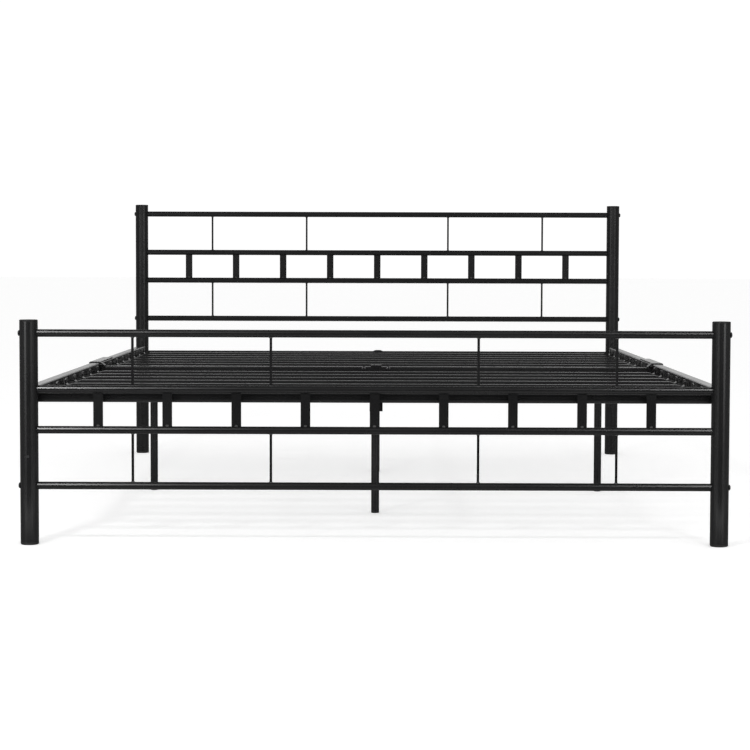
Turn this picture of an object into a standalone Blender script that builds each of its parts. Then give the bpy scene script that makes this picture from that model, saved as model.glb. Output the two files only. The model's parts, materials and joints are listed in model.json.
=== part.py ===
"""Black steel bed frame for a 140 x 200 cm mattress.

Metres, +Z up.  X runs across the bed and Y along it, with the low foot end at -Y and the
high head end at +Y.  The origin is on the floor, under the middle of the frame.

The frame comes apart into four round posts, a head and a foot panel of welded tube, side
rails in two halves with a connector at mid-length, arched steel slats with upright
end plates, two end rails, a cross beam and a centre beam, each with its own legs.
"""

import math

import bmesh
import bpy
from mathutils import Vector

# Driving dimensions
POST_SPACING_X = 1.430          # centre to centre across the bed
POST_SPACING_Y = 2.040          # centre to centre along the bed
FOOT_POST_TOP = 0.4665
HEAD_POST_TOP = 0.7550
RAIL_TOP = 0.3270               # top face of the side rails
SLAT_TOP = 0.3125               # surface that the mattress lies on
GAP = 0.0003                    # clearance between neighbouring pieces

# Posts with their plastic ends
POST_RADIUS = 0.019
POST_WALL = 0.0015
CAP_HEIGHT = 0.0035
CAP_PLUG = 0.018
GLIDE_HEIGHT = 0.006
GLIDE_PLUG = 0.016

# Head and foot panels
PANEL_DROP = 0.028              # post top to the centre of the panel's top tube
PANEL_TALL_STEP = 0.1158        # first to second tube, and third to fourth
PANEL_BAND_STEP = 0.0844        # second to third tube
PANEL_TUBE_RADIUS = 0.008
PANEL_TUBE_WALL = 0.0012
BAR_WIDTH = 0.020
BAR_THICKNESS = 0.003
ROD_RADIUS = 0.0029
BAR_PITCH = POST_SPACING_X / 10
BAR_STEPS = range(-4, 5)
ROD_STEPS = (-3.5, -1.5, 1.5, 3.5)

# Side rails
RAIL_WIDTH = 0.023
RAIL_HEIGHT = 0.031
RAIL_WALL = 0.0015
RAIL_CORNER = 0.002

# Slats
SLAT_SPACES = 16
SLAT_PITCH = POST_SPACING_Y / SLAT_SPACES
SLAT_WIDTH = 0.028
SLAT_DEPTH = 0.009
SLAT_CROWN = 0.005              # how far the arched top falls to the slat's long edges
SLAT_WALL = 0.0012
SLAT_BEND = 0.004               # round in the corner between slat and end plate
SLAT_BEND_DEPTH = 0.0020
SLAT_FLATTENED = 0.012          # length over which the arch is pressed flat
SLAT_PRESSED = 0.003            # how far the pressed end lies below the slat's top
END_PLATE = 0.0022
END_PLATE_SET_BACK = 0.009      # from the plate's inner face to the side rail
END_PLATE_LOW = 0.3045
END_PLATE_TOP = 0.3235
TIE_WIDTH = 0.008               # the short bar behind a plate, which meets the rail
TIE_LOW = 0.3095
TIE_TOP = 0.3125

# End rails
END_RAIL_DEPTH = 0.018
END_RAIL_HEIGHT = 0.020
END_RAIL_CORNER = 0.006
END_RAIL_TOP = 0.3140
END_RAIL_INSET = 0.031          # from the posts' centre line

# Cross beam at mid-length and centre beam under the slats
BEAM_SIZE = 0.020
BEAM_WALL = 0.0015
BEAM_CORNER = 0.003
CROSS_BEAM_TOP = 0.3180
CROSS_BEAM_HALF = 0.693
CENTRE_BEAM_TOP = SLAT_TOP - SLAT_DEPTH - GAP
CROSS_LEG_X = 0.568
CENTRE_LEG_Y = 0.468
LEG_RADIUS = 0.0095
LEG_WALL = 0.0012
LEG_FOOT_HEIGHT = 0.004
LEG_FOOT_PLUG = 0.014

# Rail connectors
CONNECTOR_START = -0.020        # toward the foot end
CONNECTOR_END = 0.230
CONNECTOR_LIP_END = 0.012
CONNECTOR_RISE = 0.0025
CONNECTOR_OUTSIDE = 0.0045
CONNECTOR_OUTER_DROP = 0.028
LIP_REACH = 0.011
LIP_DROP = 0.009
LUG_REACH = 0.0087
LUG_HALF_WIDTH = 0.0095
LUG_TOP = 0.3215
TONGUE = 0.016
TONGUE_LENGTH = 0.028

# Bracket on the cross beam and hooks on the centre beams
SHEET = 0.0018
BRACKET_HALF_WIDTH = 0.0138
BRACKET_RISE = 0.0047
BRACKET_EAR_HALF = 0.040
KNOB_X = 0.031
KNOB_RADIUS = 0.0065
KNOB_HEIGHT = 0.0035
KNOB_DROP = 0.0045              # from the beam's top to a knob's centre
HOOK_HALF_WIDTH = 0.0138
HOOK_TOP_HALF_WIDTH = 0.0075
HOOK_RISE = 0.0030
HOOK_OFFSET = 0.003             # the hook is wider on the right of its beam
HOOK_LOW = 0.2755
HOOK_LIP = 0.010

# Bolt heads on the posts
BOLT_RADIUS = 0.006
BOLT_HEIGHT = 0.003

POST_X = POST_SPACING_X / 2
POST_Y = POST_SPACING_Y / 2
RAIL_INNER_X = POST_X - RAIL_WIDTH / 2
END_PLATE_FACE = RAIL_INNER_X - GAP - END_PLATE_SET_BACK

AXES = {
    "X": (Vector((0, 1, 0)), Vector((0, 0, 1)), Vector((1, 0, 0))),
    "Y": (Vector((-1, 0, 0)), Vector((0, 0, 1)), Vector((0, 1, 0))),
    "Z": (Vector((1, 0, 0)), Vector((0, 1, 0)), Vector((0, 0, 1))),
}


def clear_scene():
    for obj in list(bpy.data.objects):
        bpy.data.objects.remove(obj, do_unlink=True)


def make_material(name, colour, roughness, metallic):
    material = bpy.data.materials.new(name)
    material.use_nodes = True
    shader = material.node_tree.nodes["Principled BSDF"]
    shader.inputs["Base Color"].default_value = (*colour, 1.0)
    shader.inputs["Roughness"].default_value = roughness
    shader.inputs["Metallic"].default_value = metallic
    return material


# Outlines, as (u, v) points in the plane across a piece's axis

def circle(radius, sides):
    """A regular outline with a flat, not a corner, at its top and bottom."""
    step = 2 * math.pi / sides
    return [(radius * math.cos(step * (i + 0.5)), radius * math.sin(step * (i + 0.5)))
            for i in range(sides)]


def rounded_rectangle(width, height, corner, steps=2):
    points = []
    centres = ((1, 1), (-1, 1), (-1, -1), (1, -1))
    for quarter, (sign_u, sign_v) in enumerate(centres):
        for i in range(steps + 1):
            angle = math.pi / 2 * (quarter + i / steps)
            points.append((sign_u * (width / 2 - corner) + corner * math.cos(angle),
                           sign_v * (height / 2 - corner) + corner * math.sin(angle)))
    return points


def ring(outline, centre, axis):
    u_axis, v_axis, _ = AXES[axis]
    return [Vector(centre) + u * u_axis + v * v_axis for u, v in outline]


# Closed solids from rings of points

def loft(bm, rings, closed=False):
    """Skins neighbouring rings; a closed loft joins the last to the first, others are capped."""
    rows = [[bm.verts.new(point) for point in points] for points in rings]
    pairs = list(zip(rows, rows[1:]))
    if closed:
        pairs.append((rows[-1], rows[0]))
    for low, high in pairs:
        for i in range(len(low)):
            j = (i + 1) % len(low)
            bm.faces.new((low[i], low[j], high[j], high[i]))
    if not closed:
        bm.faces.new(rows[0])
        bm.faces.new(rows[-1])


def prism(bm, outline, start, end, axis):
    loft(bm, [ring(outline, start, axis), ring(outline, end, axis)])


def pipe(bm, outer, inner, start, end, axis):
    """A tube that is open at both ends."""
    loft(bm, [ring(outer, start, axis), ring(outer, end, axis),
              ring(inner, end, axis), ring(inner, start, axis)], closed=True)


def box(bm, low, high):
    low, high = Vector(low), Vector(high)
    size = high - low
    middle = (low + high) / 2
    outline = [(size.x / 2, size.y / 2), (-size.x / 2, size.y / 2),
               (-size.x / 2, -size.y / 2), (size.x / 2, -size.y / 2)]
    prism(bm, outline, (middle.x, middle.y, low.z), (middle.x, middle.y, high.z), "Z")


def turned(bm, profile, x, y, sides):
    """A solid of revolution about the vertical through x, y; the profile is (radius, z)."""
    loft(bm, [ring(circle(radius, sides), (x, y, z), "Z") for radius, z in profile])


# Objects

def finish(name, bm, material=None):
    bmesh.ops.recalc_face_normals(bm, faces=bm.faces)
    mesh = bpy.data.meshes.new(name)
    bm.to_mesh(mesh)
    bm.free()
    mesh.shade_smooth()
    mesh.set_sharp_from_angle(angle=math.radians(35))
    obj = bpy.data.objects.new(name, mesh)
    if material:
        mesh.materials.append(material)
    bpy.context.scene.collection.objects.link(obj)
    return obj


def solid(name, material, build, *args):
    """One object whose mesh is drawn by build(bm, *args)."""
    bm = bmesh.new()
    build(bm, *args)
    return finish(name, bm, material)


def boolean(target, operation, draw):
    """Adds what draw(bm) makes to the target, or cuts it away, by a hidden tool object."""
    bm = bmesh.new()
    draw(bm)
    tool = finish(f"tool_{target.name}_{len(target.modifiers)}", bm)
    tool.hide_render = True
    tool.display_type = "WIRE"
    modifier = target.modifiers.new(operation.lower(), "BOOLEAN")
    modifier.operation = operation
    modifier.solver = "EXACT"
    modifier.object = tool


# Posts

def add_post(name, x, y, top, steel, plastic):
    sides = 28
    outer = circle(POST_RADIUS, sides)
    bore_radius = POST_RADIUS - POST_WALL
    inner = circle(bore_radius, sides)
    bottom = GLIDE_HEIGHT + GAP
    tube_top = top - CAP_HEIGHT - GAP
    solid(f"{name}_post", steel, pipe, outer, inner, (x, y, bottom), (x, y, tube_top), "Z")

    plug = bore_radius - 2 * GAP
    cap_bottom = top - CAP_HEIGHT
    cap = [(plug * 0.94, cap_bottom - CAP_PLUG), (plug, cap_bottom - CAP_PLUG * 0.8),
           (plug, cap_bottom), (POST_RADIUS, cap_bottom), (POST_RADIUS, top - 0.0014),
           (POST_RADIUS * 0.93, top - 0.0003), (POST_RADIUS * 0.5, top)]
    solid(f"{name}_post_cap", plastic, turned, cap, x, y, sides)

    glide = [(POST_RADIUS * 0.90, 0), (POST_RADIUS, 0.0018), (POST_RADIUS, GLIDE_HEIGHT),
             (plug, GLIDE_HEIGHT), (plug, GLIDE_HEIGHT + GLIDE_PLUG * 0.8),
             (plug * 0.94, GLIDE_HEIGHT + GLIDE_PLUG)]
    solid(f"{name}_post_foot", plastic, turned, glide, x, y, sides)


# Panels

def panel_tube(bm, y, z):
    outer = circle(PANEL_TUBE_RADIUS, 16)
    inner = circle(PANEL_TUBE_RADIUS - PANEL_TUBE_WALL, 16)
    pipe(bm, outer, inner, (-POST_X, y, z), (POST_X, y, z), "X")


def weld_depth(z, toward):
    """Where a rod or bar that comes from the side of `toward` ends inside a tube's wall."""
    reach = PANEL_TUBE_RADIUS - 0.7 * PANEL_TUBE_WALL
    return z + reach if toward > z else z - reach


def rods(bm, y, low, high):
    for step in ROD_STEPS:
        x = step * BAR_PITCH
        prism(bm, circle(ROD_RADIUS, 8), (x, y, low), (x, y, high), "Z")


def bars(bm, y, low, high):
    for step in BAR_STEPS:
        x = step * BAR_PITCH
        box(bm, (x - BAR_WIDTH / 2, y - BAR_THICKNESS / 2, low),
            (x + BAR_WIDTH / 2, y + BAR_THICKNESS / 2, high))


def cope(target, y, low, high):
    """Hollows the tubes' ends to the round of the posts."""
    def posts(bm):
        for x in (-POST_X, POST_X):
            prism(bm, circle(POST_RADIUS + GAP, 28), (x, y, low), (x, y, high), "Z")
    boolean(target, "DIFFERENCE", posts)


def add_panel(name, y, post_top, steel):
    """Three weldments: a tube with four rods, the ladder of nine bars, a tube with four rods."""
    first = post_top - PANEL_DROP
    second = first - PANEL_TALL_STEP
    third = second - PANEL_BAND_STEP
    fourth = third - PANEL_TALL_STEP
    clear = PANEL_TUBE_RADIUS + GAP
    margin = 0.02

    upper = solid(f"{name}_panel_top_rail", steel, panel_tube, y, first)
    boolean(upper, "UNION", lambda bm: rods(bm, y, second + clear, weld_depth(first, second)))
    cope(upper, y, first - margin, first + margin)

    def band(bm):
        panel_tube(bm, y, second)
        panel_tube(bm, y, third)
    ladder = solid(f"{name}_panel_bar_ladder", steel, band)
    boolean(ladder, "UNION",
            lambda bm: bars(bm, y, weld_depth(third, second), weld_depth(second, third)))
    cope(ladder, y, third - margin, second + margin)

    lower = solid(f"{name}_panel_bottom_rail", steel, panel_tube, y, fourth)
    boolean(lower, "UNION", lambda bm: rods(bm, y, weld_depth(fourth, third), third - clear))
    cope(lower, y, fourth - margin, fourth + margin)


# Side rails

def add_side_rail(side, x, steel):
    outer = rounded_rectangle(RAIL_WIDTH, RAIL_HEIGHT, RAIL_CORNER, 3)
    inner = rounded_rectangle(RAIL_WIDTH - 2 * RAIL_WALL, RAIL_HEIGHT - 2 * RAIL_WALL,
                              RAIL_CORNER - RAIL_WALL, 3)
    z = RAIL_TOP - RAIL_HEIGHT / 2
    far = POST_Y - POST_RADIUS - GAP
    for end, sign in (("foot", -1), ("head", 1)):
        near_point, far_point = sorted((sign * GAP, sign * far))
        solid(f"{side}_rail_{end}_half", steel, pipe, outer, inner,
              (x, near_point, z), (x, far_point, z), "Y")


def connector_outline(with_lip):
    """The saddle's section: (distance outward from the rail's centre, z)."""
    side = RAIL_WIDTH / 2 + GAP
    out = side + CONNECTOR_OUTSIDE
    low = RAIL_TOP + GAP
    top = low + CONNECTOR_RISE
    points = [(side, RAIL_TOP - CONNECTOR_OUTER_DROP), (out, RAIL_TOP - CONNECTOR_OUTER_DROP),
              (out, top - 0.003), (out - 0.001, top - 0.001), (out - 0.003, top)]
    if with_lip:
        end = -side - LIP_REACH
        points += [(-side + 0.0005, top), (end, top - LIP_DROP),
                   (end + 0.0012, top - LIP_DROP - 0.0016), (-side, low)]
    else:
        points += [(-side, top), (-side, low)]
    return points + [(side, low)]


def add_rail_connector(side, sign, steel):
    """A saddle over the rail halves' joint: a sloping lip and a tongue for the cross beam."""
    inner = RAIL_INNER_X - GAP

    def length(bm, with_lip, start, end):
        outline = connector_outline(with_lip)
        loft(bm, [[Vector((sign * (POST_X + u), y, v)) for u, v in outline]
                  for y in (start, end)])

    def span(bm, x_low, x_high, half_y, z_low, z_high):
        xs = sorted((sign * x_low, sign * x_high))
        box(bm, (xs[0], -half_y, z_low), (xs[1], half_y, z_high))

    saddle = solid(f"{side}_rail_connector", steel, length, True,
                   CONNECTOR_START, CONNECTOR_LIP_END)
    boolean(saddle, "UNION",
            lambda bm: length(bm, False, CONNECTOR_LIP_END - 0.001, CONNECTOR_END))
    z = CROSS_BEAM_TOP - BEAM_SIZE / 2
    boolean(saddle, "UNION",
            lambda bm: span(bm, inner - LUG_REACH, inner - 0.0005, LUG_HALF_WIDTH,
                            z - BEAM_SIZE / 2, LUG_TOP))
    boolean(saddle, "UNION",
            lambda bm: span(bm, CROSS_BEAM_HALF - TONGUE_LENGTH, inner - 0.002,
                            TONGUE / 2, z - TONGUE / 2, z + TONGUE / 2))


# Slats and end rails

def slat_section(depth, crown):
    """An arched channel with a narrow flat crown: u across the slat, v below its top face."""
    half = SLAT_WIDTH / 2
    wall = SLAT_WALL
    flat = 0.003
    arch = [(flat, 0)]
    for part in (0.35, 0.7, 1.0):
        arch.append((flat + (half - flat) * part, -crown * part * part))
    outside = arch + [(half, -depth)]
    inside = [(half - wall, -depth)]
    inside += [(max(u - wall, flat), v - wall) for u, v in reversed(arch[1:])]
    right = outside + inside
    left = [(-u, v) for u, v in reversed(right)]
    return right + left


def slat_end_stations(sign):
    """Ring stations from the slat's full arch to the rounded corner at its end plate."""
    corner = END_PLATE_FACE - SLAT_BEND + GAP
    pressed = SLAT_TOP - SLAT_PRESSED
    stations = [(corner - SLAT_FLATTENED, SLAT_TOP, 0, SLAT_DEPTH, SLAT_CROWN),
                (corner - 0.0002, pressed, 0, SLAT_DEPTH - SLAT_PRESSED, 0.001)]
    for angle in (0, 28, 56, 84):
        turn = math.radians(angle)
        stations.append((corner + SLAT_BEND * math.sin(turn),
                         pressed + SLAT_BEND * (1 - math.cos(turn)), angle,
                         SLAT_BEND_DEPTH, 0.0005))
    return [(sign * x, z, sign * angle, depth, crown) for x, z, angle, depth, crown in stations]


def slat(bm, y):
    rings = []
    stations = list(reversed(slat_end_stations(-1))) + slat_end_stations(1)
    for x, z, angle, depth, crown in stations:
        turn = math.radians(angle)
        normal = Vector((-math.sin(turn), 0, math.cos(turn)))
        across = Vector((0, 1, 0))
        start = Vector((x, y, z))
        rings.append([start + u * across + v * normal for u, v in slat_section(depth, crown)])
    loft(bm, rings)


def slat_ends(bm, y, width, low, high, corner, start, end):
    """A rounded bar at each end of a slat, from start to end, distances from the middle."""
    outline = rounded_rectangle(width, high - low, corner)
    middle = (low + high) / 2
    for sign in (-1, 1):
        prism(bm, outline, (sign * start, y, middle), (sign * end, y, middle), "X")


def add_slats(steel):
    for step in range(1, SLAT_SPACES):
        if step == SLAT_SPACES // 2:
            continue
        y = -POST_Y + step * SLAT_PITCH
        piece = solid(f"slat_{step:02d}", steel, slat, y)
        boolean(piece, "UNION",
                lambda bm: slat_ends(bm, y, SLAT_WIDTH + 0.0004, END_PLATE_LOW, END_PLATE_TOP,
                                     0.003, END_PLATE_FACE, END_PLATE_FACE + END_PLATE))
        boolean(piece, "UNION",
                lambda bm: slat_ends(bm, y, TIE_WIDTH, TIE_LOW, TIE_TOP, 0.001,
                                     END_PLATE_FACE + END_PLATE / 2, RAIL_INNER_X - GAP))


def add_end_rail(end, sign, steel):
    outer = rounded_rectangle(END_RAIL_DEPTH, END_RAIL_HEIGHT, END_RAIL_CORNER)
    inner = rounded_rectangle(END_RAIL_DEPTH - 2 * BEAM_WALL, END_RAIL_HEIGHT - 2 * BEAM_WALL,
                              END_RAIL_CORNER - BEAM_WALL)
    half = RAIL_INNER_X - GAP
    y = sign * (POST_Y - END_RAIL_INSET)
    z = END_RAIL_TOP - END_RAIL_HEIGHT / 2
    solid(f"{end}_end_rail", steel, pipe, outer, inner, (-half, y, z), (half, y, z), "X")


# Beams and legs

def beam_outlines():
    outer = rounded_rectangle(BEAM_SIZE, BEAM_SIZE, BEAM_CORNER)
    bore = BEAM_SIZE - 2 * BEAM_WALL
    return outer, rounded_rectangle(bore, bore, BEAM_CORNER - BEAM_WALL)


def add_cross_beam(steel):
    outer, inner = beam_outlines()
    z = CROSS_BEAM_TOP - BEAM_SIZE / 2
    solid("cross_beam", steel, pipe, outer, inner,
          (-CROSS_BEAM_HALF, 0, z), (CROSS_BEAM_HALF, 0, z), "X")


def add_hook(beam, sign):
    """Bends the beam's end up, over its end rail and down the far side."""
    rail_y = POST_Y - END_RAIL_INSET
    inner = rail_y - END_RAIL_DEPTH / 2 - GAP
    outer = rail_y + END_RAIL_DEPTH / 2 + GAP
    half = HOOK_HALF_WIDTH
    low = END_RAIL_TOP + GAP
    high = END_RAIL_TOP + HOOK_RISE

    def span(bm, x_half, y_low, y_high, z_low, z_high):
        ys = sorted((sign * y_low, sign * y_high))
        box(bm, (HOOK_OFFSET - x_half, ys[0], z_low), (HOOK_OFFSET + x_half, ys[1], z_high))

    def top(bm):
        """The part over the rail, which narrows towards its top."""
        ys = sorted((sign * (inner - SHEET * 0.9), sign * (outer + SHEET)))
        outline = [(half, low), (HOOK_TOP_HALF_WIDTH, high),
                   (-HOOK_TOP_HALF_WIDTH, high), (-half, low)]
        loft(bm, [[Vector((HOOK_OFFSET + x, y, z)) for x, z in outline] for y in ys])

    boolean(beam, "UNION",
            lambda bm: span(bm, half * 0.99, inner - SHEET, inner, HOOK_LOW, low + 0.0008))
    boolean(beam, "UNION", top)
    boolean(beam, "UNION",
            lambda bm: span(bm, half * 0.98, outer, outer + SHEET * 0.9,
                            END_RAIL_TOP - HOOK_LIP, low + 0.0006))


def add_centre_beams(steel):
    outer, inner = beam_outlines()
    z = CENTRE_BEAM_TOP - BEAM_SIZE / 2
    near = BEAM_SIZE / 2 + SHEET + 2 * GAP
    far = POST_Y - END_RAIL_INSET - END_RAIL_DEPTH / 2 - GAP - SHEET / 2
    for end, sign in (("foot", -1), ("head", 1)):
        low, high = sorted((sign * near, sign * far))
        beam = solid(f"centre_beam_{end}_half", steel, pipe, outer, inner,
                     (0, low, z), (0, high, z), "Y")
        add_hook(beam, sign)


def add_leg(name, x, y, top, steel, plastic):
    sides = 20
    outer = circle(LEG_RADIUS, sides)
    bore = LEG_RADIUS - LEG_WALL
    solid(f"{name}_leg", steel, pipe, outer, circle(bore, sides),
          (x, y, LEG_FOOT_HEIGHT + GAP), (x, y, top - GAP), "Z")
    plug = bore - 2 * GAP
    high = LEG_FOOT_HEIGHT + LEG_FOOT_PLUG
    foot = [(LEG_RADIUS * 0.86, 0), (LEG_RADIUS, 0.0016), (LEG_RADIUS, LEG_FOOT_HEIGHT),
            (plug, LEG_FOOT_HEIGHT), (plug, high), (plug * 0.9, high + 0.001)]
    solid(f"{name}_leg_foot", plastic, turned, foot, x, y, sides)


def pan_head(bm, radius, height, base, axis, sign):
    """A low domed head that stands on base and points along the signed axis."""
    profile = ((radius, 0), (radius, 0.4), (radius * 0.85, 0.8), (radius * 0.45, 1.0))
    along = AXES[axis][2] * sign
    loft(bm, [ring(circle(size, 14), Vector(base) + along * part * height, axis)
              for size, part in profile])


def add_cross_beam_bracket(steel):
    """A strap over the cross beam with ears, two knobs and a tongue into each centre beam."""
    inside = BEAM_SIZE / 2 + GAP
    outside = inside + SHEET
    half = BRACKET_HALF_WIDTH
    low = CROSS_BEAM_TOP + GAP
    high = CROSS_BEAM_TOP + BRACKET_RISE
    bottom = CENTRE_BEAM_TOP - BEAM_SIZE
    strap = solid("cross_beam_bracket", steel, box,
                  (-half, -outside, low), (half, outside, high))

    def cheek(bm, sign):
        ys = sorted((sign * inside, sign * outside))
        box(bm, (-half * 0.99, ys[0], bottom), (half * 0.99, ys[1], high - 0.001))

    def ear(bm, sign):
        ys = sorted((sign * inside, sign * (outside - 0.0001)))
        box(bm, (-BRACKET_EAR_HALF, ys[0], CROSS_BEAM_TOP - 0.018),
            (BRACKET_EAR_HALF, ys[1], CROSS_BEAM_TOP - 0.002))

    def tongue(bm, sign):
        z = CENTRE_BEAM_TOP - BEAM_SIZE / 2
        ys = sorted((sign * (inside + SHEET / 2), sign * (outside + TONGUE_LENGTH)))
        box(bm, (-TONGUE / 2, ys[0], z - TONGUE / 2), (TONGUE / 2, ys[1], z + TONGUE / 2))

    def knobs(bm):
        z = CROSS_BEAM_TOP - KNOB_DROP
        for x in (-KNOB_X, KNOB_X):
            pan_head(bm, KNOB_RADIUS, KNOB_HEIGHT + SHEET / 2, (x, -outside + SHEET / 2, z),
                     "Y", -1)

    for sign in (-1, 1):
        for draw in (cheek, tongue):
            boolean(strap, "UNION", lambda bm: draw(bm, sign))
    boolean(strap, "UNION", lambda bm: ear(bm, -1))
    boolean(strap, "UNION", knobs)


def add_panel_bolts(end, side, sign, y, top, steel):
    """Heads on the post's outer side, level with the panel's top and bottom tubes."""
    first = top - PANEL_DROP
    last = first - 2 * PANEL_TALL_STEP - PANEL_BAND_STEP
    x = sign * (POST_X + POST_RADIUS + GAP)
    for place, z in (("top", first), ("bottom", last)):
        solid(f"{end}_{side}_{place}_bolt", steel, pan_head,
              BOLT_RADIUS, BOLT_HEIGHT, (x, y, z), "X", sign)


def main():
    clear_scene()
    steel = make_material("black_powder_coat", (0.018, 0.018, 0.019), 0.42, 0.0)
    plastic = make_material("black_plastic", (0.022, 0.022, 0.023), 0.55, 0.0)
    zinc = make_material("black_fastener", (0.02, 0.02, 0.021), 0.35, 0.6)

    ends = (("foot", -1, FOOT_POST_TOP), ("head", 1, HEAD_POST_TOP))
    sides = (("left", -1), ("right", 1))
    for end, sign_y, top in ends:
        for side, sign_x in sides:
            add_post(f"{end}_{side}", sign_x * POST_X, sign_y * POST_Y, top, steel, plastic)
            add_panel_bolts(end, side, sign_x, sign_y * POST_Y, top, zinc)
        add_panel(end, sign_y * POST_Y, top, steel)
        add_end_rail(end, sign_y, steel)
    for side, sign_x in sides:
        add_side_rail(side, sign_x * POST_X, steel)
        add_rail_connector(side, sign_x, steel)
    add_slats(steel)

    add_cross_beam(steel)
    add_centre_beams(steel)
    for side, sign_x in sides:
        add_leg(f"cross_{side}", sign_x * CROSS_LEG_X, 0, CROSS_BEAM_TOP - BEAM_SIZE,
                steel, plastic)
    for end, sign_y, _ in ends:
        add_leg(f"centre_{end}", 0, sign_y * CENTRE_LEG_Y, CENTRE_BEAM_TOP - BEAM_SIZE,
                steel, plastic)
    add_cross_beam_bracket(steel)


main()
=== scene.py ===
"""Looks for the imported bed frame: materials, welds, bolt heads, buttons, studio and camera.

Metres, in the CAD's own frame.  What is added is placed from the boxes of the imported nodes;
its sizes, and the heights of the buttons, are constants below.
"""

import json
import math

import bmesh
import bpy
from mathutils import Matrix, Vector


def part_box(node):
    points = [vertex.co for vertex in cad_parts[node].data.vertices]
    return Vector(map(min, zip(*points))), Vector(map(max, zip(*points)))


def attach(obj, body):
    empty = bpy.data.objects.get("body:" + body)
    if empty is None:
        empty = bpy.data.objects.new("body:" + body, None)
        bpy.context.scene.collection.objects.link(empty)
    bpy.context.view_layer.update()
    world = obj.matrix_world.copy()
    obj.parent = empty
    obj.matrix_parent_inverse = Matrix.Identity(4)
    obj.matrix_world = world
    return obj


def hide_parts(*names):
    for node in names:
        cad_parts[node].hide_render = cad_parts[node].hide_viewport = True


# Camera at the photograph's viewing angle
CAMERA_AT = (0.0142, -5.309, 0.5941)
CAMERA_PITCH_DOWN = 3.207
CAMERA_YAW_LEFT = 0.181
CAMERA_ROLL = 0.163
CAMERA_LENS = 99.8
SENSOR_WIDTH = 36.0
CLIP_END = 200.0

# Floor and room, as the eye and matt light see them
FLOOR_HALF_SIZE = 60.0
FLOOR_GREY = 0.86
FLOOR_GLOW = 0.305
FLOOR_ROUGHNESS = 0.9
FLOOR_SPECULAR = 0.1
BACKDROP_SEEN = 1.05
WHITE = (1.0, 1.0, 1.0, 1.0)
ROOM_LIGHT = 0.80

# The same room in reflections.  Each pair of limits is of one part of the unit direction
# in which a reflection looks: X across the bed, Y toward its head end, Z up.
WALL_MIDDLE = 0.42              # a white wall behind the head end, dimmer in the middle
WALL_SIDES = 0.90
WALL_BELOW = 0.06               # what is left of it below the horizon
WALL_EDGE_Y = (0.80, 0.985)
WALL_SIDE_X = (0.02, 0.14)
WALL_FOOT_Z = (-0.03, 0.03)
FRONT_REFLECTED = 0.17          # all round, level
CEILING_REFLECTED = 0.14        # and overhead
CEILING_Z = (0.05, 0.6)
HORIZON_Z = (-0.065, -0.004)
FLOOR_SIDE_REFLECTED = 0.19     # the floor to the sides
FLOOR_SIDE_X = (0.25, 0.50)
FLOOR_FRONT_REFLECTED = 0.34    # the floor close to the bed
FLOOR_FRONT_Z = (-0.40, -0.80)

# Lights, in mirrored pairs at the foot end, with one low card between them
SOFTBOX_AT = (2.35, -3.33, 1.20)
SOFTBOX_AIM = (0.7, -1.0)       # X and Y; it is aimed level
SOFTBOX_SIZE = (1.35, 1.90)
SOFTBOX_SPREAD = 75.0
SOFTBOX_POWER = 4.2
LAMP_AT = (1.32, -3.33, 2.24)
LAMP_AIM = (0.69, -1.02, 0.35)
LAMP_SIZE = 0.30
LAMP_POWER_LEFT = 26.0
LAMP_POWER_RIGHT = 11.5
CARD_DISTANCE = 0.32            # from the foot posts; the card stands on the floor
CARD_SIZE = (2.60, 0.03)
CARD_POWER = 0.40

# Welds on the head and foot panels.  Bars and rods stand at these multiples of a tenth of
# the posts' spacing from the middle.
PANEL_SPACES = 10
BARS = range(-4, 5)
RODS = (-3.5, -1.5, 1.5, 3.5)
TUBE_RADIUS = 0.008
BAR_FACE = 0.0015               # from a panel's middle plane to the face of a bar
ROD_RADIUS = 0.0029
TACK_LENGTH = 0.0072
TACK_RADIUS = 0.0026
TACK_LIFT = 0.0008              # from the corner up the bar
TACK_RIPPLE = 0.0019            # length of one ripple
TACK_RIPPLE_DEPTH = 0.12        # as a part of the radius
TACK_RINGS = 13
RING_RADIUS = 0.0011
RING_LUMPS = 5
RING_LUMP_DEPTH = 0.15          # as a part of the radius
RING_TURN_PER_METRE = 9         # so that the lumps differ from rod to rod
RING_STEPS = 20
BEAD_SIDES = 8

# Bolt heads, as parts of the plain head's radius and height: (radius, height) up the dome,
# then (width across flats, height) down the socket
ROUND_SIDES = 36
DOME = ((0.97, 0.0), (1.0, 0.05), (1.0, 0.32), (0.97, 0.45), (0.88, 0.66), (0.73, 0.85),
        (0.58, 0.96), (0.54, 1.0), (0.50, 1.0))
SOCKET = ((0.84, 0.96), (0.82, 0.35))

# Buttons on the fronts of posts: post, height above the floor, radius, how far it stands
# out.  The profile's points are (part of the radius, part of how far it stands out).
BUTTONS = (
    ("foot_left_post", 0.184, 0.0030, 0.0006),
    ("head_left_post", 0.345, 0.0042, 0.0010),
    ("head_right_post", 0.345, 0.0042, 0.0010),
)
BUTTON_PROFILE = ((1.0, -0.3), (1.0, 0.45), (0.90, 0.85), (0.72, 1.0), (0.45, 0.95),
                  (0.30, 0.55), (0.12, 0.50))
SHARP_ANGLE = 38

# Textures: scales in cycles per metre, and (distance, strength) of each bump
CLOUD_SCALE = 9.0
CLOUD_LIMITS = (0.3, 0.7)
RIPPLE_SCALE = 160.0
RIPPLE_BUMP = (0.0004, 0.06)
PEEL_SCALE = 900.0
PEEL_BUMP = (0.0001, 0.16)
GRAIN_SCALE = 2600.0
GRAIN_BUMP = (0.00003, 0.12)
SCUFF_SCALE = 60.0
SCUFF_LIMITS = (0.35, 0.7)
MOULD_GRAIN_SCALE = 1800.0
MOULD_GRAIN_BUMP = (0.00006, 0.3)

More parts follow.
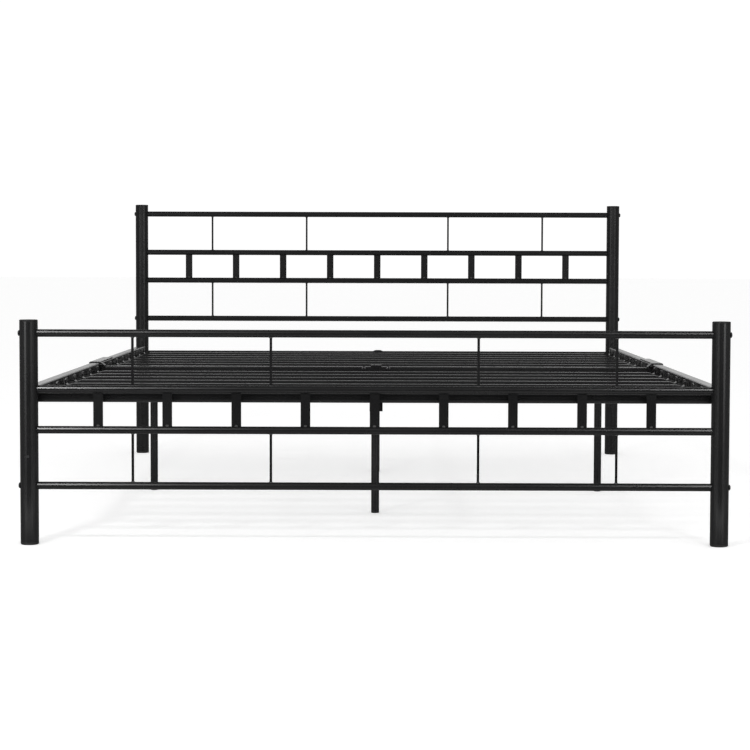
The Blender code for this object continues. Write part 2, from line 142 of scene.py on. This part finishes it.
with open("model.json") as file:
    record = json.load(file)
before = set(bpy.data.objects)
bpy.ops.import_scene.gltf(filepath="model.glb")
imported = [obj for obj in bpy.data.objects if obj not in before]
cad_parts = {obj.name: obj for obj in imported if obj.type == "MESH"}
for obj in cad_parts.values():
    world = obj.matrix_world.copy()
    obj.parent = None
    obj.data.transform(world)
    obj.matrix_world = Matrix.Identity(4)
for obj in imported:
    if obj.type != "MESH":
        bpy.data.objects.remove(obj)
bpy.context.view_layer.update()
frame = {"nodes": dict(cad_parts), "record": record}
NODES = frame["nodes"]


# ---------------------------------------------------------------- materials

def principled(name, colour, roughness, specular):
    material = bpy.data.materials.new(name)
    material.use_nodes = True
    shader = material.node_tree.nodes["Principled BSDF"]
    shader.inputs["Base Color"].default_value = (*colour, 1.0)
    shader.inputs["Roughness"].default_value = roughness
    shader.inputs["Specular IOR Level"].default_value = specular
    return material, shader


def noise(tree, coordinate, scale, detail, roughness=0.5):
    node = tree.nodes.new("ShaderNodeTexNoise")
    node.inputs["Scale"].default_value = scale
    node.inputs["Detail"].default_value = detail
    node.inputs["Roughness"].default_value = roughness
    tree.links.new(coordinate, node.inputs["Vector"])
    return node.outputs["Fac"]


def ramp(tree, source, limits, at_low, at_high):
    """Maps source from its two limits to at_low and at_high, and no further."""
    node = tree.nodes.new("ShaderNodeMapRange")
    node.inputs["From Min"].default_value = limits[0]
    node.inputs["From Max"].default_value = limits[1]
    node.inputs["To Min"].default_value = at_low
    node.inputs["To Max"].default_value = at_high
    tree.links.new(source, node.inputs["Value"])
    return node.outputs["Result"]


def tint(tree, factor, dark, light):
    node = tree.nodes.new("ShaderNodeMix")
    node.data_type = "RGBA"
    node.inputs["A"].default_value = (*dark, 1.0)
    node.inputs["B"].default_value = (*light, 1.0)
    tree.links.new(factor, node.inputs["Factor"])
    return node.outputs["Result"]


def bump(tree, height, size, under=None):
    node = tree.nodes.new("ShaderNodeBump")
    node.inputs["Distance"].default_value, node.inputs["Strength"].default_value = size
    tree.links.new(height, node.inputs["Height"])
    if under is not None:
        tree.links.new(under, node.inputs["Normal"])
    return node.outputs["Normal"]


def powder_coat(name, dark, light, rough_low, rough_high, specular):
    """Satin powder coat: fine orange peel over a slow ripple, with uneven gloss."""
    material, shader = principled(name, dark, rough_low, specular)
    tree = material.node_tree
    where = tree.nodes.new("ShaderNodeTexCoord").outputs["Object"]
    cloud = noise(tree, where, CLOUD_SCALE, detail=4.0)
    peel = noise(tree, where, PEEL_SCALE, detail=2.0)
    ripple = noise(tree, where, RIPPLE_SCALE, detail=2.0)
    grain = noise(tree, where, GRAIN_SCALE, detail=1.0)
    tree.links.new(tint(tree, ramp(tree, cloud, CLOUD_LIMITS, 0.0, 1.0), dark, light),
                   shader.inputs["Base Color"])
    tree.links.new(ramp(tree, cloud, CLOUD_LIMITS, rough_low, rough_high),
                   shader.inputs["Roughness"])
    normal = bump(tree, ripple, RIPPLE_BUMP)
    normal = bump(tree, peel, PEEL_BUMP, normal)
    normal = bump(tree, grain, GRAIN_BUMP, normal)
    tree.links.new(normal, shader.inputs["Normal"])
    return material


def moulded_plastic(name, dark, light, rough_low, rough_high, specular):
    """Moulded plastic with a fine spark-eroded grain and scuffed patches."""
    material, shader = principled(name, dark, rough_low, specular)
    tree = material.node_tree
    where = tree.nodes.new("ShaderNodeTexCoord").outputs["Object"]
    scuff = noise(tree, where, SCUFF_SCALE, detail=6.0, roughness=0.7)
    grain = noise(tree, where, MOULD_GRAIN_SCALE, detail=3.0)
    tree.links.new(tint(tree, ramp(tree, scuff, SCUFF_LIMITS, 0.0, 1.0), dark, light),
                   shader.inputs["Base Color"])
    tree.links.new(ramp(tree, scuff, SCUFF_LIMITS, rough_low, rough_high),
                   shader.inputs["Roughness"])
    tree.links.new(bump(tree, grain, MOULD_GRAIN_BUMP), shader.inputs["Normal"])
    return material


STEEL = powder_coat("satin_powder_coat",
                    dark=(0.0056, 0.0056, 0.0059), light=(0.0074, 0.0074, 0.0077),
                    rough_low=0.24, rough_high=0.29, specular=0.50)
PLASTIC = moulded_plastic("black_moulded_plastic",
                          dark=(0.010, 0.010, 0.010), light=(0.016, 0.016, 0.016),
                          rough_low=0.48, rough_high=0.62, specular=0.40)
FASTENER = powder_coat("black_fastener_finish",
                       dark=(0.008, 0.008, 0.009), light=(0.014, 0.014, 0.015),
                       rough_low=0.26, rough_high=0.36, specular=0.50)
# Weld beads: a colour far lighter than the steel's, a painted highlight for the glint that beads
# this small catch
WELD_PAINTED_HIGHLIGHT = powder_coat("weld_bead_painted_highlight",
                   dark=(0.034, 0.034, 0.035), light=(0.070, 0.069, 0.068),
                   rough_low=0.30, rough_high=0.42, specular=0.50)
BUTTON = powder_coat("button_finish",
                     dark=(0.014, 0.014, 0.0145), light=(0.020, 0.020, 0.0205),
                     rough_low=0.24, rough_high=0.32, specular=0.50)

FINISH = {
    "powder_coated_steel": STEEL,
    "black_plastic": PLASTIC,
    "black_fastener": FASTENER,
}


def dress_cad_nodes():
    """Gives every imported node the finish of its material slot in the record."""
    slots = {entry["node"]: entry["material_slot"] for entry in frame["record"]["subparts"]}
    for name, obj in NODES.items():
        material = FINISH[slots[name]]
        if not obj.material_slots:
            obj.data.materials.append(material)
        for slot in obj.material_slots:
            slot.material = material


# ---------------------------------------------------------------- welds and fasteners

def new_piece(name, bm, slot, material=None):
    """An added piece; its material is the slot's finish unless another is given."""
    bmesh.ops.recalc_face_normals(bm, faces=bm.faces)
    mesh = bpy.data.meshes.new(name)
    bm.to_mesh(mesh)
    bm.free()
    mesh.shade_smooth()
    mesh.set_sharp_from_angle(angle=math.radians(SHARP_ANGLE))
    mesh.materials.append(material or FINISH[slot])
    piece = bpy.data.objects.new(name, mesh)
    bpy.context.scene.collection.objects.link(piece)
    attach(piece, "root")
    return piece


def skin(bm, rings, closed=False):
    """Joins neighbouring rings of points; open skins are capped at both ends."""
    rows = [[bm.verts.new(point) for point in points] for points in rings]
    pairs = list(zip(rows, rows[1:]))
    if closed:
        pairs.append((rows[-1], rows[0]))
    for low, high in pairs:
        for i in range(len(low)):
            j = (i + 1) % len(low)
            bm.faces.new((low[i], low[j], high[j], high[i]))
    if not closed:
        bm.faces.new(rows[0])
        bm.faces.new(rows[-1])


def turns(count):
    """Equal steps round a full turn, in radians."""
    return [2 * math.pi * i / count for i in range(count)]


def tack_weld(bm, x, y, z):
    """A short rippled bead along X, in the corner between a bar's face and a tube."""
    rings = []
    for i in range(TACK_RINGS):
        along = -1 + 2 * (i + 0.5) / TACK_RINGS
        offset = along * TACK_LENGTH / 2
        ripple = 1 + TACK_RIPPLE_DEPTH * math.cos(2 * math.pi * offset / TACK_RIPPLE)
        size = TACK_RADIUS * ripple * math.sqrt(1 - along * along)
        rings.append([(x + offset, y + size * math.cos(turn), z + size * math.sin(turn))
                      for turn in turns(BEAD_SIDES)])
    skin(bm, rings)


def ring_weld(bm, x, y, tube_z, up):
    """A lumpy bead round a rod, on the top (up = 1) or underside (up = -1) of a tube."""
    rings = []
    for turn in turns(RING_STEPS):
        away = Vector((math.cos(turn), math.sin(turn), 0))
        at = Vector((x, y, 0)) + ROD_RADIUS * away
        at.z = tube_z + up * math.sqrt(TUBE_RADIUS ** 2 - (at.y - y) ** 2)
        lump = math.sin(RING_LUMPS * turn + RING_TURN_PER_METRE * x)
        size = RING_RADIUS * (1 + RING_LUMP_DEPTH * lump)
        rings.append([at + size * (math.cos(angle) * away + Vector((0, 0, math.sin(angle))))
                      for angle in turns(BEAD_SIDES)])
    skin(bm, rings, closed=True)


def middle(node):
    """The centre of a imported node's box."""
    low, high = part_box(node)
    return (Vector(low) + Vector(high)) / 2


def add_panel_welds(end):
    """Beads where the bars and rods of one panel meet its four tubes, counted from the top.

    The fronts of the bars' upper ends have none.
    """
    left, right = middle(f"{end}_left_post"), middle(f"{end}_right_post")
    pitch = (right.x - left.x) / PANEL_SPACES
    y = left.y
    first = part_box(f"{end}_panel_top_rail")[1][2] - TUBE_RADIUS
    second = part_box(f"{end}_panel_bar_ladder")[1][2] - TUBE_RADIUS
    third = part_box(f"{end}_panel_bar_ladder")[0][2] + TUBE_RADIUS
    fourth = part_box(f"{end}_panel_bottom_rail")[0][2] + TUBE_RADIUS
    corner = math.sqrt(TUBE_RADIUS ** 2 - BAR_FACE ** 2)

    bm = bmesh.new()
    for step in BARS:
        tack_weld(bm, step * pitch, y + BAR_FACE, second - corner - TACK_LIFT)
        for face in (-BAR_FACE, BAR_FACE):
            tack_weld(bm, step * pitch, y + face, third + corner + TACK_LIFT)
    for step in RODS:
        ring_weld(bm, step * pitch, y, first, -1)
        ring_weld(bm, step * pitch, y, second, 1)
        ring_weld(bm, step * pitch, y, third, -1)
        ring_weld(bm, step * pitch, y, fourth, 1)
    new_piece(f"{end}_panel_welds", bm, "powder_coated_steel", WELD_PAINTED_HIGHLIGHT)


def hexagon_radius(turn, across_flats):
    """How far a hexagon's outline is from its centre in the direction turn."""
    sixth = math.pi / 3
    return across_flats / 2 / math.cos((turn % sixth) - sixth / 2)


def add_socket_head(node):
    """A domed bolt head with a hexagon socket, in the place of a plain one."""
    low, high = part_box(node)
    centre = middle(node)
    sign = math.copysign(1, centre.x)
    base = low[0] if sign > 0 else high[0]
    height = high[0] - low[0]
    radius = (high[2] - low[2]) / 2
    outlines = [(up, [part * radius] * ROUND_SIDES) for part, up in DOME]
    for across, up in SOCKET:
        outlines.append((up, [hexagon_radius(turn, across * radius)
                              for turn in turns(ROUND_SIDES)]))
    rings = []
    for up, outline in outlines:
        rings.append([(base + sign * up * height, centre.y + out * math.cos(turn),
                       centre.z + out * math.sin(turn))
                      for out, turn in zip(outline, turns(ROUND_SIDES))])
    bm = bmesh.new()
    skin(bm, rings)
    head = new_piece(f"{node}_socket_head", bm, "black_fastener")
    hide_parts(node)


def add_button(node, z, radius, height):
    """A shallow round button on the front of a post, wrapped to the post's round."""
    post = middle(node)
    low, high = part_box(node)
    post_radius = (high[0] - low[0]) / 2
    rings = []
    for part, rise in BUTTON_PROFILE:
        ring = []
        for turn in turns(ROUND_SIDES):
            across = part * radius * math.cos(turn)
            out = math.sqrt(post_radius ** 2 - across ** 2) + rise * height
            ring.append((post.x + across, post.y - out,
                         z + part * radius * math.sin(turn)))
        rings.append(ring)
    bm = bmesh.new()
    skin(bm, rings)
    new_piece(f"{node}_button", bm, "black_fastener", BUTTON)


def add_small_parts():
    for node, z, radius, height in BUTTONS:
        add_button(node, z, radius, height)
    for end in ("foot", "head"):
        add_panel_welds(end)
        for side in ("left", "right"):
            for place in ("top", "bottom"):
                add_socket_head(f"{end}_{side}_{place}_bolt")


# ---------------------------------------------------------------- studio

def add_camera():
    data = bpy.data.cameras.new("camera")
    data.lens = CAMERA_LENS
    data.sensor_width = SENSOR_WIDTH
    data.clip_end = CLIP_END
    camera = bpy.data.objects.new("camera", data)
    bpy.context.scene.collection.objects.link(camera)
    turn = (Matrix.Rotation(math.radians(CAMERA_YAW_LEFT), 4, "Z")
            @ Matrix.Rotation(math.radians(90 - CAMERA_PITCH_DOWN), 4, "X")
            @ Matrix.Rotation(math.radians(CAMERA_ROLL), 4, "Z"))
    camera.matrix_world = Matrix.Translation(CAMERA_AT) @ turn
    bpy.context.scene.camera = camera


def add_floor():
    """A pale floor that reflections don't see; the world stands in for it there."""
    mesh = bpy.data.meshes.new("floor")
    size = FLOOR_HALF_SIZE
    mesh.from_pydata([(-size, -size, 0), (size, -size, 0), (size, size, 0), (-size, size, 0)],
                     [], [(0, 1, 2, 3)])
    floor = bpy.data.objects.new("floor", mesh)
    bpy.context.scene.collection.objects.link(floor)
    material, shader = principled("pale_floor", (FLOOR_GREY,) * 3, FLOOR_ROUGHNESS,
                                  FLOOR_SPECULAR)
    shader.inputs["Emission Color"].default_value = WHITE
    shader.inputs["Emission Strength"].default_value = FLOOR_GLOW
    mesh.materials.append(material)
    floor.visible_glossy = False


def add_area_light(name, at, target, width, height, power):
    data = bpy.data.lights.new(name, "AREA")
    data.shape = "RECTANGLE"
    data.size = width
    data.size_y = height
    data.energy = power
    light = bpy.data.objects.new(name, data)
    bpy.context.scene.collection.objects.link(light)
    aim = Vector(target) - Vector(at)
    light.matrix_world = Matrix.Translation(at) @ aim.to_track_quat("-Z", "Y").to_matrix().to_4x4()
    return light


def add_world():
    """White to the eye and even to matt light; reflections see a dim room and a white wall."""
    world = bpy.data.worlds.new("studio")
    bpy.context.scene.world = world
    world.use_nodes = True
    tree = world.node_tree
    tree.nodes.clear()
    output = tree.nodes.new("ShaderNodeOutputWorld")
    path = tree.nodes.new("ShaderNodeLightPath")

    def background(strength):
        node = tree.nodes.new("ShaderNodeBackground")
        node.inputs["Color"].default_value = WHITE
        if isinstance(strength, float):
            node.inputs["Strength"].default_value = strength
        else:
            tree.links.new(strength, node.inputs["Strength"])
        return node.outputs["Background"]

    def choose(switch, usual, switched):
        node = tree.nodes.new("ShaderNodeMixShader")
        tree.links.new(path.outputs[switch], node.inputs["Fac"])
        tree.links.new(usual, node.inputs[1])
        tree.links.new(switched, node.inputs[2])
        return node.outputs["Shader"]

    def maths(operation, first, second=None):
        node = tree.nodes.new("ShaderNodeMath")
        node.operation = operation
        tree.links.new(first, node.inputs[0])
        if second is not None:
            tree.links.new(second, node.inputs[1])
        return node.outputs["Value"]

    direction = tree.nodes.new("ShaderNodeTexCoord").outputs["Generated"]
    split = tree.nodes.new("ShaderNodeSeparateXYZ")
    tree.links.new(direction, split.inputs["Vector"])
    side = maths("ABSOLUTE", split.outputs["X"])
    up = split.outputs["Z"]
    wall_width = ramp(tree, split.outputs["Y"], WALL_EDGE_Y, 0.0, 1.0)
    wall_light = ramp(tree, side, WALL_SIDE_X, WALL_MIDDLE, WALL_SIDES)
    wall_foot = ramp(tree, up, WALL_FOOT_Z, WALL_BELOW, 1.0)
    wall = maths("MULTIPLY", maths("MULTIPLY", wall_width, wall_light), wall_foot)
    above = ramp(tree, up, CEILING_Z, FRONT_REFLECTED, CEILING_REFLECTED)
    floor_side = ramp(tree, side, FLOOR_SIDE_X, 0.0, FLOOR_SIDE_REFLECTED)
    floor_front = ramp(tree, up, FLOOR_FRONT_Z, 0.0, FLOOR_FRONT_REFLECTED)
    below = maths("MAXIMUM", floor_side, floor_front)
    blend = tree.nodes.new("ShaderNodeMix")
    tree.links.new(ramp(tree, up, HORIZON_Z, 0.0, 1.0), blend.inputs["Factor"])
    tree.links.new(below, blend.inputs["A"])
    tree.links.new(above, blend.inputs["B"])
    total = maths("ADD", wall, blend.outputs["Result"])

    matt = choose("Is Glossy Ray", background(ROOM_LIGHT), background(total))
    tree.links.new(choose("Is Camera Ray", matt, background(BACKDROP_SEEN)),
                   output.inputs["Surface"])


def add_studio():
    add_floor()
    add_world()

    def mirrored(point, sign):
        return (sign * point[0], *point[1:])

    softbox_aim = (*SOFTBOX_AIM, SOFTBOX_AT[2])
    for side, sign, power in (("left", -1, LAMP_POWER_LEFT), ("right", 1, LAMP_POWER_RIGHT)):
        softbox = add_area_light(f"softbox_{side}", mirrored(SOFTBOX_AT, sign),
                                 mirrored(softbox_aim, sign), *SOFTBOX_SIZE, SOFTBOX_POWER)
        softbox.data.spread = math.radians(SOFTBOX_SPREAD)
        add_area_light(f"lamp_{side}", mirrored(LAMP_AT, sign), mirrored(LAMP_AIM, sign),
                       LAMP_SIZE, LAMP_SIZE, power)
    width, height = CARD_SIZE
    card_y = middle("foot_left_post").y - CARD_DISTANCE
    card = add_area_light("floor_card", (0, card_y, height / 2), (0, 0, height / 2),
                          width, height, CARD_POWER)
    card.visible_camera = False
    bpy.context.scene.view_settings.view_transform = "Standard"
    bpy.context.scene.view_settings.look = "None"


dress_cad_nodes()
add_small_parts()
add_camera()
add_studio()
